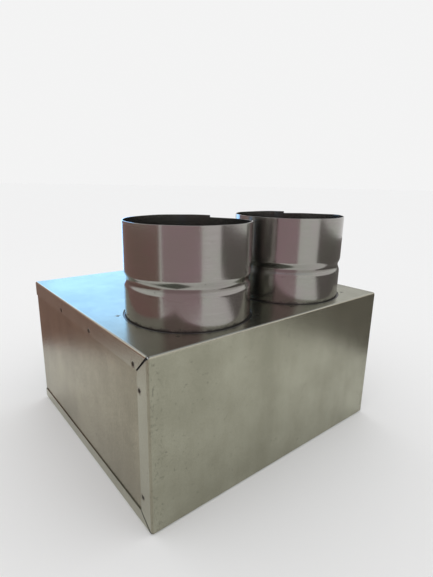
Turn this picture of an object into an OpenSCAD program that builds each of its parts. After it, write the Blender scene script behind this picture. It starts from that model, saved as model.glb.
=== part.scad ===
// Grille plenum box of galvanised sheet. One sheet is folded into the top, front and bottom,
// and its flanges are spot-welded over a flat plate at each end. The back is the open mouth that
// a grille covers. Two round spigots for flexible duct stand side by side on the top.
// Origin at the middle of the bottom face, X along the front, +Y towards the mouth, +Z up.

/* [Box] */
// Length of the box over its two ends
box_len = 203; // [196:1:420]
// Depth from the closed front panel to the open mouth
box_depth = 184; // [110:1:300]
// Height of the box without the spigots
box_height = 104.5; // [60:0.5:220]
// Thickness of the galvanised sheet
sheet = 0.6; // [0.5:0.1:0.8]
// Inside radius of the folds of the casing
fold_r = 0.6; // [0.3:0.1:1]

/* [End flanges] */
// Width of the flange folded down from the top panel
top_flange = 11; // [7:0.5:18]
// Width of the flange folded round from the front panel
front_flange = 11; // [7:0.5:18]
// Width of the flange folded up from the bottom panel
bottom_flange = 8; // [6:0.5:14]
// Width of a mitre slit at the corner of the box
slit_wide = 1.5; // [0.8:0.1:2.5]
// Width of a mitre slit at the free edges of the flanges
slit_narrow = 0.7; // [0.3:0.1:1.5]
// Width cut off the front flange's free corner beside the top slit
trim_wide = 1; // [0.2:0.1:3]
// Height of that cut
trim_high = 4; // [1:0.5:8]
// Chamfer on the bottom flange where it ends at the mouth
mouth_clip = 2; // [0.5:0.5:5]
// Play between an end plate's edge and the start of the folds
plate_gap = 0.1; // [0.05:0.05:0.5]

/* [Spigots] */
// Outside diameter of a spigot, the nominal size of the duct
spigot_d = 80; // [60:1:84]
// Height of a spigot above the top panel
spigot_height = 59; // [40:1:120]
// Width of the turned-out foot under the top panel, from the spigot's wall
foot_width = 6; // [4:0.5:8]
// Radius of the bend between the wall and the foot, on its outer side
foot_bend = 0.4; // [0.2:0.1:1]
// Play all round between a spigot and its hole in the top panel
hole_play = 1.5; // [1.4:0.1:3]
// Gap between the feet of the two spigots
feet_gap = 0.5; // [0.2:0.1:20]
// Distance from the front of the box to the feet
foot_setback = 1.5; // [1.4:0.1:60]
// Distance of the pair of spigots from the middle of the box, towards the right end
pair_shift = 1.9; // [-5:0.1:5]

/* [Bead and lap seam] */
// Height of the middle of the bead above the top panel
bead_height = 24; // [12:0.5:34]
// Width of the rolled-in bead
bead_width = 10; // [4:0.5:16]
// Depth of the bead
bead_depth = 1.3; // [0.5:0.1:3]
// Overlap of the rolled strip's two ends
lap_width = 8; // [4:0.5:15]
// Step in the rim where the rolled strip closes out of true
rim_step = 1.5; // [0.5:0.1:3]
// Direction of the left spigot's seam, in degrees from the X axis
left_seam = 32; // [0:1:359]
// Direction of the right spigot's seam, in degrees from the X axis
right_seam = 47; // [0:1:359]

/* [Spot welds] */
// Diameter of the dimple that each spot weld leaves
weld_d = 4; // [2:0.5:5]
// Depth of the dimple
weld_depth = 0.15; // [0.05:0.05:0.3]
// Distance of the welds of the end flanges from the flanges' free edges
flange_weld_inset = 2.2; // [1.5:0.1:4]
// Distance of the welds round a spigot from its wall
spigot_weld_offset = 4.5; // [3:0.1:5]

/* [Hidden] */
$fn = 96;
past = 2; // how far a cutter runs past what it cuts
bead_steps = 16; // flats along the bead's profile

outer_r = fold_r + sheet; // outside radius of a fold
half_len = box_len / 2;
half_depth = box_depth / 2;

spigot_r = spigot_d / 2;
foot_r = spigot_r + foot_width;
pair_pitch = 2 * foot_r + feet_gap;
left_x = pair_shift - pair_pitch / 2;
right_x = pair_shift + pair_pitch / 2;
spigots_y = -half_depth + foot_setback + foot_r;
top_inside = box_height - sheet; // underside of the top panel, which the feet touch
foot_top = top_inside;
rim_z = box_height + spigot_height;
bead_z = box_height + bead_height;
lap_angle = lap_width / spigot_r * 180 / PI;

// Places of the welds along the top flange and down the front flange, as shares of the depth and
// height of the box, and their directions round each spigot. They were set by hand, not evenly.
top_flange_welds = [0.08, 0.395, 0.67];
front_flange_welds = [0.205, 0.82];
spigot_welds = [-132, -45, 48, 158];

// Square corner with its outer point rounded: width and height of the square, radius of the point
module rounded_front(w, h, r) {
    translate([r, 0]) square([w - r, h]);
    translate([0, r]) square([w, h - 2 * r]);
    for (z = [r, h - r])
        translate([r, z]) circle(r);
}

// Block with the outline of the box set in by a distance on every side but the mouth, with its
// folded edges rounded. Its back runs to the given y. It is what three rounded outlines share:
// one seen from the end, one from above and one from the mouth.
module folded_block(inset, r, y_end) {
    len = box_len - 2 * inset;
    depth = half_depth - inset + y_end;
    high = box_height - 2 * inset;
    translate([-len / 2, -half_depth + inset, inset])
        intersection() {
            rotate([90, 0, 90])
                linear_extrude(len)
                    rounded_front(depth, high, r);
            translate([0, depth, 0])
                rotate([90, 0, 0])
                    linear_extrude(depth)
                        rounded_all(len, high, r);
            linear_extrude(high)
                translate([len, 0])
                    rotate(90)
                        rounded_front(depth, len, r);
        }
}

// Rectangle with four rounded corners
module rounded_all(w, h, r) {
    translate([r, 0]) square([w - 2 * r, h]);
    translate([0, r]) square([w, h - 2 * r]);
    for (x = [r, w - r], z = [r, h - r])
        translate([x, z]) circle(r);
}

// Mitre slit between two flanges, from the box's corner at the origin to the point where their
// free edges meet
module mitre_slit(end) {
    run = norm(end);
    rotate(atan2(end[1], end[0]))
        polygon([
            [-past, -slit_wide / 2], [run, -slit_narrow / 2],
            [run, slit_narrow / 2], [-past, slit_wide / 2]
        ]);
}

// What is cut out of one end of the folded sheet, seen along X with the front at the left: the
// window that the flanges frame, the slits at its front corners and the clip at the mouth
module end_cut() {
    polygon([
        [front_flange - trim_wide, box_height - top_flange],
        [box_depth + past, box_height - top_flange],
        [box_depth + past, bottom_flange],
        [front_flange, bottom_flange],
        [front_flange, box_height - top_flange - trim_high]
    ]);
    translate([0, box_height]) mitre_slit([front_flange, -top_flange]);
    mitre_slit([front_flange, bottom_flange]);
    translate([box_depth, 0])
        polygon([[-mouth_clip, 0], [-mouth_clip, -past], [past, -past], [past, mouth_clip], [0, mouth_clip]]);
}

// Shallow round dimple that a welding tip presses into a sheet, whose face is the XY plane
module weld_dimple() {
    tip_r = (pow(weld_d / 2, 2) + pow(weld_depth, 2)) / (2 * weld_depth);
    translate([0, 0, tip_r - weld_depth]) sphere(tip_r);
}

// Dimples in the flanges of one end: side is -1 at the left, 1 at the right
module end_welds(side) {
    places = concat(
        [for (share = top_flange_welds) [share * box_depth, box_height - top_flange + flange_weld_inset]],
        [for (share = front_flange_welds) [front_flange - flange_weld_inset, (1 - share) * box_height]]
    );
    for (place = places)
        translate([side * half_len, place[0] - half_depth, place[1]])
            rotate([0, side * 90, 0])
                weld_dimple();
}

// Dimples round one spigot, where its foot is welded under the top panel
module foot_welds(x) {
    for (angle = spigot_welds)
        translate([x, spigots_y, box_height])
            rotate(angle)
                translate([spigot_r + spigot_weld_offset, 0, 0])
                    weld_dimple();
}

// Folded sheet: top, front and bottom panels, with flanges turned over both end plates
module casing() {
    color("#8f8f82")
        difference() {
            folded_block(0, outer_r, half_depth);
            folded_block(sheet, fold_r, half_depth + past);
            for (x = [-half_len - past, half_len - outer_r])
                translate([x, -half_depth, 0])
                    rotate([90, 0, 90])
                        linear_extrude(outer_r + past)
                            end_cut();
            for (x = [left_x, right_x])
                translate([x, spigots_y, top_inside - past])
                    cylinder(r = spigot_r + hole_play, h = sheet + 2 * past);
            for (side = [-1, 1])
                end_welds(side);
            for (x = [left_x, right_x])
                foot_welds(x);
        }
}

// Flat plate behind the flanges of one end, open to the mouth: side is -1 at the left, 1 at the right
module end_plate(side) {
    edge = outer_r + plate_gap;
    inner_face = half_len - 2 * sheet;
    color("#877f6d")
        translate([side > 0 ? inner_face : -inner_face - sheet, -half_depth + edge, edge])
            cube([sheet, box_depth - edge, box_height - 2 * edge]);
}

// Depth of the bead at a height: a smooth hollow, deepest at its middle
function bead_in(z) =
    abs(z - bead_z) < bead_width / 2 ? bead_depth * (1 + cos(360 * (z - bead_z) / bead_width)) / 2 : 0;

// Half section of a spigot's wall, beaded, from height z0 to the rim: r is its outside radius
module wall_section(r, z0) {
    bead = [for (i = [0:bead_steps]) bead_z + bead_width * (i / bead_steps - 0.5)];
    heights = concat([z0], bead, [rim_z]);
    polygon(concat(
        [for (z = heights) [r - bead_in(z), z]],
        [for (i = [len(heights) - 1:-1:0]) [r - sheet - bead_in(heights[i]), heights[i]]]
    ));
}

// Half section of a spigot's foot: the bend out of the wall, then the flat that lies under the
// top panel
module foot_section() {
    bend_x = spigot_r + foot_bend;
    bend_z = foot_top + foot_bend;
    translate([bend_x, foot_top - sheet])
        square([foot_width - foot_bend, sheet]);
    translate([bend_x, bend_z])
        intersection() {
            difference() {
                circle(foot_bend + sheet);
                circle(foot_bend);
            }
            translate([-foot_bend - sheet, -foot_bend - sheet])
                square(foot_bend + sheet);
        }
}

// Spigot: a strip rolled round with its ends lapped, a bead rolled in and its foot turned out.
// Clockwise of the seam the rim runs low, and it is back at full height after a quarter turn.
module spigot(x, seam) {
    straight = foot_top + foot_bend; // where the wall leaves the bend
    tilt = atan(rim_step / spigot_r);
    color("#7d7168")
        translate([x, spigots_y, 0]) {
            difference() {
                rotate_extrude() {
                    wall_section(spigot_r, straight);
                    foot_section();
                }
                rotate(seam + lap_angle)
                    translate([0, 0, rim_z])
                        rotate([0, tilt, 0])
                            translate([-spigot_r, -2 * spigot_r, 0])
                                cube([3 * spigot_r, 2 * spigot_r, rim_step + past]);
            }
            rotate(seam)
                rotate_extrude(angle = lap_angle)
                    wall_section(spigot_r - sheet, straight);
        }
}

module left_end_plate() { end_plate(-1); }
module right_end_plate() { end_plate(1); }
module left_spigot() { spigot(left_x, left_seam); }
module right_spigot() { spigot(right_x, right_seam); }

casing();
left_end_plate();
right_end_plate();
left_spigot();
right_spigot();
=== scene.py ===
import bpy
import numpy as np
from mathutils import Matrix, Vector


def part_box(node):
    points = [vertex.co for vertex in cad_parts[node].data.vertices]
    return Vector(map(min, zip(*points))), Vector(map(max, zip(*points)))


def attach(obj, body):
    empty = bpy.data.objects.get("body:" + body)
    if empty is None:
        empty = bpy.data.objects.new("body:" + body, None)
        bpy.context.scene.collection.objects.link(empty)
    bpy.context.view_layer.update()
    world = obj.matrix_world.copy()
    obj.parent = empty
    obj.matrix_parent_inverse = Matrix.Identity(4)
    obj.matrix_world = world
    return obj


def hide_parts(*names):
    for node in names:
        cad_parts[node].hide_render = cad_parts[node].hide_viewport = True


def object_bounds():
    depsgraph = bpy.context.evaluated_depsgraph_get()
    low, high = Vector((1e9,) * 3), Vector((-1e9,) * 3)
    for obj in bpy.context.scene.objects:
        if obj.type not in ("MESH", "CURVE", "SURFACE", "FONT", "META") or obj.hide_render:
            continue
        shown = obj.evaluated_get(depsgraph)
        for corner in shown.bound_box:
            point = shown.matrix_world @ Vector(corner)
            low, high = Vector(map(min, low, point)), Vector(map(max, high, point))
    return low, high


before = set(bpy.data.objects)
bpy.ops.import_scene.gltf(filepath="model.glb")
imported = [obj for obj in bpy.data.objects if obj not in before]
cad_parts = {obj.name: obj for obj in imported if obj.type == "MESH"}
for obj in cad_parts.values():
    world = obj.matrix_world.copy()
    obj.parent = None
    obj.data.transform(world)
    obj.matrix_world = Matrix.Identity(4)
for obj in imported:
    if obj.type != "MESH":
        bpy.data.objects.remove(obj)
cad_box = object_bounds()

# Casing
# One galvanised sheet folded into the top, front and bottom of the box, with a narrow flange
# turned at both ends of each panel and mitred at the front corners. The flanges are spot-welded
# over the end plates, and the top over the spigots' feet, which leaves small burnt marks.

MM = 0.001
LEFT, FRONT, BASE = cad_box[0]
RIGHT, MOUTH = cad_box[1].x, cad_box[1].y
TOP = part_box("casing")[1].z
SHEET = 0.6 * MM
TOP_FLANGE, FRONT_FLANGE, BOTTOM_FLANGE = 11 * MM, 11 * MM, 8 * MM


class Wire:
    """A value on its way through a material's nodes. Plain arithmetic on it adds Math nodes, and
    node() adds any other node. Its socket is None only for the empty start of a material."""

    def __init__(self, tree, socket=None):
        self.tree = tree
        self.socket = socket

    def node(self, kind, settings=None, sockets=None, out=0):
        """Adds a node, sets its own settings, then feeds its sockets, named or numbered, with
        plain values or other wires. The result is the wire from its chosen output."""
        added = self.tree.nodes.new(kind)
        for name, value in (settings or {}).items():
            setattr(added, name, value)
        for name, value in (sockets or {}).items():
            if isinstance(value, Wire):
                self.tree.links.new(value.socket, added.inputs[name])
            else:
                added.inputs[name].default_value = value
        return Wire(self.tree, added.outputs[out])

    def math(self, operation, first, second=0.0):
        return self.node("ShaderNodeMath", {"operation": operation}, {0: first, 1: second})

    def __add__(self, other):
        return self.math("ADD", self, other)

    def __radd__(self, other):
        return self.math("ADD", other, self)

    def __sub__(self, other):
        return self.math("SUBTRACT", self, other)

    def __rsub__(self, other):
        return self.math("SUBTRACT", other, self)

    def __mul__(self, other):
        return self.math("MULTIPLY", self, other)

    def __rmul__(self, other):
        return self.math("MULTIPLY", other, self)

    def __abs__(self):
        return self.math("ABSOLUTE", self)

    def axis(self, name):
        """One of X, Y and Z of a place."""
        return self.node("ShaderNodeSeparateXYZ", None, {0: self}, out=name)

    def step(self, start, end):
        """0 at start and 1 at end, with a smooth S-shaped rise between them."""
        spread = {"Value": self, "From Min": start, "From Max": end}
        return self.node("ShaderNodeMapRange", {"interpolation_type": "SMOOTHSTEP"}, spread)

    def either(self, other):
        """The larger of two masks."""
        return self.math("MAXIMUM", self, other)

    def tint(self, colour, over):
        """The colour over, turned to colour where this mask is 1."""
        sockets = {0: self, 6: over, 7: colour}
        return self.node("ShaderNodeMix", {"data_type": "RGBA"}, sockets, out=2)


def start_material(name):
    """An empty material with its Principled shader and output, and a wire to build it with."""
    material = bpy.data.materials.new(name)
    material.use_nodes = True
    shader = material.node_tree.nodes["Principled BSDF"]
    return material, shader, Wire(material.node_tree)


def feed(shader, socket, value):
    """Links a wire to one of the shader's sockets, or sets a plain value on it."""
    if isinstance(value, Wire):
        value.tree.links.new(value.socket, shader.inputs[socket])
    else:
        shader.inputs[socket].default_value = value


def grain(wire, place, scale, stretch=(1, 1, 1), detail=4.0, roughness=0.6, shift=(0, 0, 0)):
    """Noise about 0.5, scale lumps per metre, drawn out along the axes where stretch is small."""
    placed = wire.node("ShaderNodeMapping", None, {"Vector": place, "Location": shift, "Scale": stretch})
    sockets = {"Vector": placed, "Scale": scale, "Detail": detail, "Roughness": roughness}
    return wire.node("ShaderNodeTexNoise", None, sockets)


def distance_to_points(wire, place, points):
    """Distance in metres to the nearest of the points."""
    nearest = None
    for point in points:
        gap = wire.node("ShaderNodeVectorMath", {"operation": "DISTANCE"}, {0: place, 1: point}, out="Value")
        nearest = gap if nearest is None else wire.math("MINIMUM", nearest, gap)
    return nearest


def distance_to_line(wire, place, start, end):
    """Distance in metres to the straight line from start to end: the place is dropped onto the
    line, no further than its two ends, and the gap to that spot is measured."""
    run = Vector(end) - Vector(start)
    offset = wire.node("ShaderNodeVectorMath", {"operation": "SUBTRACT"}, {0: place, 1: start})
    sockets = {0: offset, 1: run / run.length_squared}
    share = wire.node("ShaderNodeVectorMath", {"operation": "DOT_PRODUCT"}, sockets, out="Value")
    share = wire.node("ShaderNodeClamp", None, {"Value": share})
    spot = wire.node("ShaderNodeVectorMath", {"operation": "SCALE"}, {0: run, "Scale": share})
    return wire.node("ShaderNodeVectorMath", {"operation": "DISTANCE"}, {0: offset, 1: spot}, out="Value")


def mitre_lines():
    """Both ends' mitre slits, as lines in the flanges from the box's corner inwards."""
    lines = []
    for x in (LEFT + SHEET, RIGHT - SHEET):
        lines.append(((x, FRONT, TOP), (x, FRONT + FRONT_FLANGE, TOP - TOP_FLANGE)))
        lines.append(((x, FRONT, BASE), (x, FRONT + FRONT_FLANGE, BASE + BOTTOM_FLANGE)))
    return lines


def zinc_coat(wire, place, light, dark, grit):
    """Colour and relief of bare zinc: two tones in soft clouds and faint runs down the sheet,
    under a fine crystal grain of strength grit, with a few dark pits."""
    clouds = grain(wire, place, 26, detail=3.0)
    runs = grain(wire, place, 70, stretch=(1, 1, 0.16), detail=2.0, shift=(0.3, 0.1, 0))
    crystals = grain(wire, place, 850, detail=4.0, roughness=0.7)
    pits = grain(wire, place, 430, detail=2.0, shift=(3, 1, 2)).step(0.67, 0.73)
    tone = (clouds - 0.5) * 0.9 + (runs - 0.5) * 0.45 + (crystals - 0.5) * grit
    colour = tone.step(-0.3, 0.3).tint(light, dark)
    colour = (pits * 0.4).tint((0.09, 0.08, 0.06, 1), colour)
    return colour, crystals * 0.35 + runs * 0.1 - pits * 0.4


def add_slit_shade(wire, place, colour):
    """Painted shade: the colour turned black in and right beside the mitre slits, where the gap lies in shadow."""
    gap = None
    for start, end in mitre_lines():
        line = distance_to_line(wire, place, start, end)
        gap = line if gap is None else wire.math("MINIMUM", gap, line)
    return gap.step(1.05 * MM, 0.6 * MM).tint((0.008, 0.007, 0.006, 1), colour)


def finish_metal(material, shader, wire, colour, rough, height, lift):
    """Feeds the shader of a bare metal sheet. lift is the height in metres of the relief."""
    feed(shader, "Base Color", colour)
    feed(shader, "Metallic", 0.97)
    feed(shader, "Roughness", rough)
    bump = {"Strength": 0.3, "Distance": lift, "Height": height}
    feed(shader, "Normal", wire.node("ShaderNodeBump", None, bump))
    return material


def end_welds():
    """Places of the spot welds in both ends' flanges, at the listed spacings."""
    drop = TOP_FLANGE - 2.2 * MM
    depth, high = MOUTH - FRONT, TOP - BASE
    places = [(FRONT + share * depth, TOP - drop) for share in (0.08, 0.395, 0.67)]
    places += [(FRONT + drop, TOP - share * high) for share in (0.205, 0.82)]
    return [(x, y, z) for x in (LEFT, RIGHT) for y, z in places]


def top_welds():
    """Places of the spot welds round the two spigots, in the top panel."""
    welds = []
    for node in ("left_spigot", "right_spigot"):
        low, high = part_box(node)
        centre = (low + high) / 2
        for turn in np.radians((-132, -45, 48, 158)):
            welds.append((centre.x + 44.5 * MM * np.cos(turn), centre.y + 44.5 * MM * np.sin(turn), TOP))
    return welds


def casing_zinc():
    """Zinc with burnt welds and dark flakes where the coating cracked beside the upright folds,
    with painted light: a painted sheen that lightens the flanges' outer faces, a painted
    highlight along the top folds and a line of painted shade in the upright folds."""
    material, shader, wire = start_material("galvanised_casing")
    place = wire.node("ShaderNodeTexCoord", out="Object")
    colour, height = zinc_coat(wire, place, (0.39, 0.385, 0.30, 1), (0.29, 0.285, 0.215, 1), 0.5)
    x, y, z = place.axis("X"), place.axis("Y"), place.axis("Z")
    # Painted sheen: the outer faces of the end flanges are made lighter, as their slight tilt catches more light.
    outer = abs(x).step(RIGHT - 0.5 * MM, RIGHT - 0.1 * MM)
    colour = (outer * 0.35).tint((0.45, 0.43, 0.34, 1), colour)

    to_end = RIGHT - abs(x)
    flakes = grain(wire, place, 700, stretch=(1, 1, 0.6), detail=3.0, shift=(5, 0, 1))
    cracked = flakes.step(0.57, 0.66) * to_end.step(13 * MM, 1.5 * MM) * (y - FRONT).step(2 * MM, 0.5 * MM)
    colour = (cracked * 0.5).tint((0.11, 0.10, 0.075, 1), colour)
    # Painted shade: a soft dark line along the upright folds where the front turns into its end flanges.
    upright = distance_to_points(wire, wire.node("ShaderNodeCombineXYZ", None, {0: to_end, 1: y}), [(0, FRONT, 0)])
    colour = (upright.step(1.5 * MM, 0.7 * MM) * 0.45).tint((0.20, 0.17, 0.12, 1), colour)
    # Painted highlight: a pale line along the top's folds to the front and to both ends, a little smoother too.
    level = wire.node("ShaderNodeCombineXYZ", None, {0: y, 1: z})
    fold_highlight = distance_to_points(wire, level, [(FRONT, TOP, 0)]).step(1.6 * MM, 0.8 * MM)
    side = wire.node("ShaderNodeCombineXYZ", None, {0: to_end, 1: z})
    fold_highlight = fold_highlight.either(distance_to_points(wire, side, [(0, TOP, 0)]).step(1.6 * MM, 0.8 * MM))
    colour = (fold_highlight * 0.7).tint((0.62, 0.58, 0.47, 1), colour)

    ragged = (grain(wire, place, 600, detail=2.0, shift=(1, 4, 2)) - 0.5) * 2.2 * MM
    end_gap = distance_to_points(wire, place, end_welds()) + ragged
    top_gap = distance_to_points(wire, place, top_welds()) + ragged
    ring = end_gap.step(3.0 * MM, 1.7 * MM)
    core = end_gap.step(1.7 * MM, 0.9 * MM).either(top_gap.step(1.4 * MM, 0.7 * MM) * 0.6)
    colour = (ring * 0.45).tint((0.17, 0.14, 0.10, 1), colour)
    colour = (core * 0.92).tint((0.02, 0.016, 0.012, 1), colour)
    colour = add_slit_shade(wire, place, colour)
    rough = 0.27 + core * 0.3 - fold_highlight * 0.05
    return finish_metal(material, shader, wire, colour, rough, height - core * 0.8, 0.05 * MM)


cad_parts["casing"].data.materials[0] = casing_zinc()

# End plates
# A flat piece of the same sheet closes each end. It lies behind the casing's three flanges and
# stops level with the open mouth, where it has no flange of its own.


def end_plate_zinc():
    """The same zinc, with a coarser crystal grain and painted shade low down, the floor's shadow as the sheet
    reflects it.
    """
    material, shader, wire = start_material("galvanised_end")
    place = wire.node("ShaderNodeTexCoord", out="Object")
    colour, height = zinc_coat(wire, place, (0.385, 0.35, 0.25, 1), (0.25, 0.225, 0.155, 1), 1.1)
    # Painted shade: blotchy darkening towards the bottom, the floor's shadow as the sheet reflects it.
    low = (place.axis("Z") - BASE).step(45 * MM, 4 * MM)
    colour = (low * grain(wire, place, 40, detail=3.0) * 0.5).tint((0.17, 0.145, 0.10, 1), colour)
    colour = add_slit_shade(wire, place, colour)
    return finish_metal(material, shader, wire, colour, 0.27, height, 0.09 * MM)


end_zinc = end_plate_zinc()
for side in ("left_end_plate", "right_end_plate"):
    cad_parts[side].data.materials[0] = end_zinc

# Spigots
# Each is a strip rolled into a ring with its ends lapped and spot-welded, a bead rolled in below
# the middle, and its foot turned out flat under the casing's top. The sheet is brighter than the
# box's, and the rolled strip closes a little askew, so its rim has a step at the seam.

SPIGOT_R = 40 * MM
BEND_R = 0.4 * MM
BEAD_UP, BEAD_WIDTH, BEAD_DEPTH = 24 * MM, 10 * MM, 1.3 * MM
LAP = 8 * MM / SPIGOT_R
RIM_STEP = 1.5 * MM


def spigot_section(foot_r, foot_z, rim_z):
    """Outer line of the wall as (radius, height) rows, with the direction into the sheet there:
    the foot's flat from its edge inwards, a quarter circle up, then the wall, hollowed by one
    cosine wave at the bead."""
    flat = np.linspace(foot_r, SPIGOT_R + BEND_R, 6)
    turn = np.linspace(-np.pi / 2, -np.pi, 8)[1:]
    bead_z = TOP + BEAD_UP
    low = np.linspace(foot_z + BEND_R, bead_z - BEAD_WIDTH / 2, 12)[1:]
    bead = np.linspace(bead_z - BEAD_WIDTH / 2, bead_z + BEAD_WIDTH / 2, 34)[1:]
    high = np.linspace(bead_z + BEAD_WIDTH / 2, rim_z, 22)[1:]
    wall = np.concatenate([low, bead, high])
    wave = 0.5 + 0.5 * np.cos(2 * np.pi * np.clip((wall - bead_z) / BEAD_WIDTH, -0.5, 0.5))
    radius = np.concatenate([flat, SPIGOT_R + BEND_R + BEND_R * np.cos(turn), SPIGOT_R - BEAD_DEPTH * wave])
    height = np.concatenate([np.full(6, foot_z), foot_z + BEND_R + BEND_R * np.sin(turn), wall])
    along = np.stack([np.gradient(radius), np.gradient(height)], axis=1)
    along /= np.linalg.norm(along, axis=1, keepdims=True)
    into = np.stack([-along[:, 1], along[:, 0]], axis=1)
    return np.stack([radius, height], axis=1), into


def rolled_spigot(name, node, seam_deg, oval, material, columns=480):
    """The section carried round its axis, from the inner lap at the seam through a full turn to
    the outer lap. Over the lap the strip lies one sheet further in. It is closed at both ends,
    and its upper part is slightly oval and wavy. Its UV map is the flat strip in metres, with
    the way round across and the height up."""
    low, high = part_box(node)
    centre = (low + high) / 2
    foot_r = (high.x - low.x) / 2
    section, into = spigot_section(foot_r, low.z + SHEET, high.z)
    turn = np.linspace(0, 2 * np.pi + LAP, columns)
    settle = np.clip((turn - LAP) / (0.5 * LAP), 0, 1)
    inward = (1 - settle * settle * (3 - 2 * settle)) * 1.08 * SHEET
    fall = RIM_STEP * np.where(turn > 1.5 * np.pi + LAP, np.cos(2 * np.pi + LAP - turn), 0)
    angle = turn + np.radians(seam_deg)
    bead_top = TOP + BEAD_UP + BEAD_WIDTH / 2
    loops = []
    for depth in (0.0, SHEET):
        line = section + into * depth
        shift = into[None] * inward[:, None, None]
        r = line[None, :, 0] + shift[:, :, 0]
        z = line[None, :, 1] + shift[:, :, 1]
        up = np.clip((z - bead_top) / (high.z - bead_top), 0, 1)
        lift = np.clip((z - TOP) / (high.z - TOP), 0, 1)
        a = angle[:, None]
        r = r + lift * (oval * np.cos(2 * (a - 0.6)) + 0.06 * MM * np.sin(7 * a) + 0.02 * MM * np.sin(17 * a + 1))
        z = z - up * fall[:, None] - up * 0.12 * MM * (1 + np.sin(5 * a + seam_deg) * np.sin(3 * a))
        loops.append(np.stack([centre.x + r * np.cos(a), centre.y + r * np.sin(a), z], axis=2))
    ring = np.concatenate([loops[0], loops[1][:, ::-1]], axis=1)
    count = ring.shape[1]
    i, j = np.meshgrid(np.arange(columns - 1), np.arange(count), indexing="ij")
    k = (j + 1) % count
    sides = np.stack([i * count + j, (i + 1) * count + j, (i + 1) * count + k, i * count + k], axis=2).reshape(-1, 4)
    half = np.arange(count // 2 - 1)
    cap = np.stack([half, half + 1, count - 2 - half, count - 1 - half], axis=1)
    faces = np.concatenate([sides, cap, cap[:, ::-1] + (columns - 1) * count])
    mesh = bpy.data.meshes.new(name)
    mesh.from_pydata(ring.reshape(-1, 3), [], faces)
    flat_strip = np.stack([np.broadcast_to(turn[:, None] * SPIGOT_R, ring.shape[:2]), ring[:, :, 2]], axis=2)
    mesh.uv_layers.new(name="strip").data.foreach_set("uv", flat_strip.reshape(-1, 2)[faces.ravel()].ravel())
    mesh.update()
    mesh.shade_smooth()
    mesh.set_sharp_from_angle(angle=np.radians(40))
    mesh.materials.append(material)
    piece = bpy.data.objects.new(name, mesh)
    bpy.context.scene.collection.objects.link(piece)
    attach(piece, "root")
    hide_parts(node)


def spigot_zinc():
    """Brighter rolled zinc: olive and reddish patches, fine scratches round the ring and few dark
    specks, with painted shade at the foot, in the gap round it, and in the bottom of the bead."""
    material, shader, wire = start_material("galvanised_spigot")
    strip = wire.node("ShaderNodeUVMap", {"uv_map": "strip"})
    place = wire.node("ShaderNodeTexCoord", out="Object")
    patches = grain(wire, place, 45, detail=3.0)
    colour = patches.step(0.35, 0.65).tint((0.335, 0.31, 0.295, 1), (0.315, 0.315, 0.28, 1))
    scratches = grain(wire, strip, 1400, stretch=(0.03, 1, 1), detail=3.0, roughness=0.7)
    crystals = grain(wire, strip, 900, detail=3.0, shift=(2, 1, 0))
    worn = (scratches - 0.5) * 0.6 + (crystals - 0.5) * 0.5
    colour = worn.step(-0.05, 0.35).tint((0.43, 0.42, 0.39, 1), colour)
    specks = grain(wire, strip, 480, detail=2.0, shift=(1, 7, 0)).step(0.70, 0.74)
    colour = (specks * 0.6).tint((0.07, 0.06, 0.05, 1), colour)
    height = place.axis("Z") - TOP
    blotch = grain(wire, strip, 160, detail=3.0, shift=(4, 2, 0))
    # Painted shade: blotchy near-black at the foot, where the gap round the spigot lies in shadow.
    foot_shade = (height + (blotch - 0.5) * 5 * MM).step(2.2 * MM, 0.3 * MM)
    # Painted shade: a thin dark line in the bottom of the bead's groove.
    bead_shade = abs(height - BEAD_UP + 0.8 * MM).step(1.6 * MM, 0.3 * MM)
    colour = (bead_shade * 0.35).tint((0.10, 0.085, 0.07, 1), colour)
    colour = (foot_shade * 0.75).tint((0.05, 0.045, 0.04, 1), colour)
    rough = 0.17 + (crystals - 0.5) * 0.12 + foot_shade * 0.2
    relief = scratches * 0.5 + crystals * 0.3
    return finish_metal(material, shader, wire, colour, rough, relief, 0.03 * MM)


rolled_zinc = spigot_zinc()
rolled_spigot("left_rolled_spigot", "left_spigot", 32, 0.25 * MM, rolled_zinc)
rolled_spigot("right_rolled_spigot", "right_spigot", 47, -0.2 * MM, rolled_zinc)

# Studio
# A plain pale floor in an evenly lit pale room. Metal shows what stands round it, so a cool
# window and three dull boards out of the picture give the sheets their blue and dark zones.


def stage_plane(name, corners, material):
    """A flat rectangle through four corners."""
    mesh = bpy.data.meshes.new(name)
    mesh.from_pydata([Vector(corner) for corner in corners], [], [(0, 1, 2, 3)])
    mesh.materials.append(material)
    plane = bpy.data.objects.new(name, mesh)
    bpy.context.scene.collection.objects.link(plane)
    return plane


FLOOR_SPAN = 30
floor_paint, floor_shader, wire = start_material("floor_paint")
feed(floor_shader, "Base Color", (0.9, 0.9, 0.9, 1))
feed(floor_shader, "Specular IOR Level", 0.0)
floor_z = BASE - 0.2 * MM
corners = [(x * FLOOR_SPAN, y * FLOOR_SPAN, floor_z) for x, y in ((-1, -1), (1, -1), (1, 1), (-1, 1))]
stage_plane("floor", corners, floor_paint)


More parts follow.
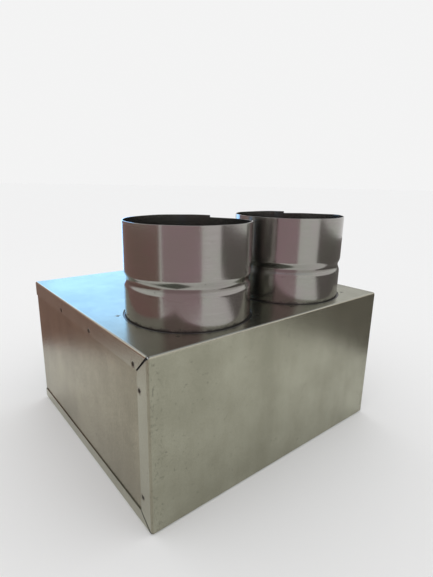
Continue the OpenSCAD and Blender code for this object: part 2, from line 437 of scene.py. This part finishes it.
def board(name, start, end, high, colour, strength=1.0):
    """An upright board on the floor, from start to end, that only polished surfaces show."""
    material, shader, _ = start_material(name)
    feed(shader, "Base Color", (0, 0, 0, 1))
    feed(shader, "Specular IOR Level", 0.0)
    feed(shader, "Emission Color", colour)
    feed(shader, "Emission Strength", strength)
    corners = [(*start, floor_z), (*end, floor_z), (*end, high), (*start, high)]
    plane = stage_plane(name, corners, material)
    plane.visible_camera = False
    plane.visible_diffuse = False
    plane.visible_shadow = False


board("window_board", (-0.06, 0.4), (0.15, 0.4), 0.33, (0.33, 0.6, 1.0, 1), 3.3)
board("brown_board", (-0.364, -0.092), (-0.009, 0.380), 0.15, (0.30, 0.19, 0.17, 1))
board("dark_board", (0.215, 0.06), (0.215, -0.7), 0.13, (0.18, 0.165, 0.155, 1))
board("dull_board", (-0.41, -0.128), (-0.128, -0.41), 0.35, (0.50, 0.36, 0.40, 1))

PALE, DIM = (0.9, 0.9, 0.9, 1), (0.42, 0.46, 0.54, 1)
room = bpy.data.worlds.new("pale_room")
room.use_nodes = True
wire = Wire(room.node_tree)
rise = wire.node("ShaderNodeTexCoord", out="Generated").axis("Z")
walls = rise.step(0.38, 0.65).tint(DIM, PALE)
feed(room.node_tree.nodes["Background"], "Color", wire.node("ShaderNodeLightPath", out="Is Diffuse Ray").tint((1, 1, 1, 1), walls))
bpy.context.scene.world = room

# Camera
# Where the photograph was taken from, close to the near left corner and a little above the rims.

FOCAL_PX = 396.0
FRAME_HEIGHT_PX = 577
camera_data = bpy.data.cameras.new("camera")
camera_data.sensor_width = 36
camera_data.lens = FOCAL_PX / FRAME_HEIGHT_PX * camera_data.sensor_width
camera_data.clip_start = 0.01
right = Vector((0.77786, -0.62819, 0.01750))
up = Vector((0.14667, 0.20855, 0.96696))
ahead = Vector((0.61108, 0.74959, -0.25436))
turn = Matrix((right, up, -ahead)).transposed().to_4x4()
camera = bpy.data.objects.new("camera", camera_data)
camera.matrix_world = Matrix.Translation((-185.42 * MM, -246.26 * MM, 184.40 * MM)) @ turn
bpy.context.scene.collection.objects.link(camera)
bpy.context.scene.camera = camera
bpy.context.scene.view_settings.view_transform = "Standard"
